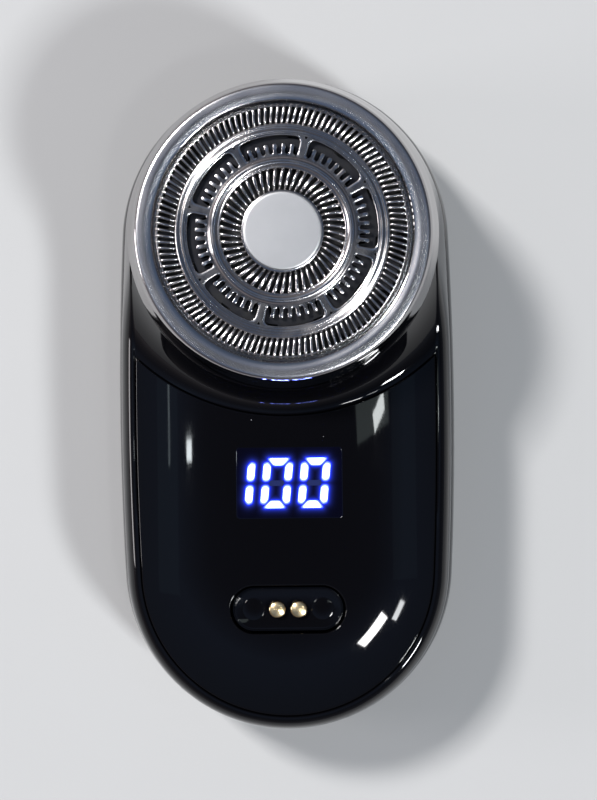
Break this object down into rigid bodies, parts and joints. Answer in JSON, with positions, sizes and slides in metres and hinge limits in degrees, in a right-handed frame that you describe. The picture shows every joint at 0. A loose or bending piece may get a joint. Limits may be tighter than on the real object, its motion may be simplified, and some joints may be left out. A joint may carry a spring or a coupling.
{
  "type": "electric shaver",
  "caption": "Pocket rotary electric shaver with one round slotted shaving head, a flat oval body, a lit number display and a magnetic charging recess.",
  "frame": {"origin": "middle of the body's flat back, which it lies on", "axes": "+Z out of the shaving face, +Y along the body towards the head end, +X to the right when the head end is up"},
  "size_m": [0.05, 0.097, 0.0339],
  "materials": {
    "black_gloss": "piano-black moulded plastic, polished",
    "black_plastic": "fine matt black moulding",
    "seal_rubber": "soft black seal",
    "gold_plate": "gold plated, turned",
    "magnet_nickel": "nickel plated magnet",
    "display_face": "LED number display, blue-white",
    "circuit_board": "solder-masked board",
    "cell_foil": "laminated pouch foil",
    "pad_foam": "foam pad",
    "motor_steel": "plated steel",
    "bearing_brass": "sintered brass",
    "drive_nylon": "natural nylon",
    "plated_chrome": "bright plated, fine orange peel",
    "net_steel": "polished stainless steel",
    "satin_steel": "satin blasted steel"
  },
  "bodies": {
    "body": {"rear_shell": "black_gloss", "front_housing": "black_gloss", "front_panel": "black_gloss", "charge_socket": "black_gloss", "housing_gasket": "seal_rubber", "button_seal": "seal_rubber", "shaft_seal": "seal_rubber", "head_seal": "seal_rubber", "tact_switch": "black_plastic", "motor_end_cap": "black_plastic", "motor_bracket": "black_plastic", "charge_contact_left": "gold_plate", "charge_contact_right": "gold_plate", "charge_magnet_left": "magnet_nickel", "charge_magnet_right": "magnet_nickel", "display_module": "display_face", "main_board": "circuit_board", "switch_board": "circuit_board", "battery_cell": "cell_foil", "battery_pad": "pad_foam", "motor_can": "motor_steel", "motor_bearing": "bearing_brass", "case_screw_1": "motor_steel", "case_screw_2": "motor_steel", "case_screw_3": "motor_steel", "case_screw_4": "motor_steel"},
    "button": {"power_button": "black_plastic"},
    "rotor": {"motor_rotor": "motor_steel", "motor_shaft": "motor_steel", "drive_coupling": "drive_nylon", "drive_spring": "motor_steel"},
    "head": {"head_collar": "plated_chrome", "net_retainer": "black_plastic"},
    "net": {"shaving_net": "net_steel", "net_cap": "satin_steel"},
    "cutter": {"cutter_carrier": "drive_nylon", "cutter_blade": "net_steel"}
  },
  "joints": [
    {"name": "power_button_press", "type": "slide", "parent": "body", "child": "button", "axis": [0, 0, 1], "range_m": [0, 0.0005], "stiffness_N_per_m": 900, "springref_m": -0.0005},
    {"name": "motor_spin", "type": "hinge", "parent": "body", "child": "rotor", "pos_m": [0, 0.0237, 0.0187], "axis": [0, 0, 1], "continuous": true},
    {"name": "head_lift", "type": "slide", "parent": "body", "child": "head", "axis": [0, 0, 1], "range_m": [0, 0.02]},
    {"name": "net_float", "type": "slide", "parent": "head", "child": "net", "axis": [0, 0, 1], "range_m": [-0.0006, 0], "stiffness_N_per_m": 1200, "springref_m": 0.0008, "deforming": ["drive_spring"]},
    {"name": "cutter_spin", "type": "hinge", "parent": "net", "child": "cutter", "pos_m": [0, 0.0237, 0.0315], "axis": [0, 0, 1], "continuous": true}
  ],
  "couplings": [
    {"joint": "motor_spin", "follows": "cutter_spin", "ratio": 1}
  ]
}
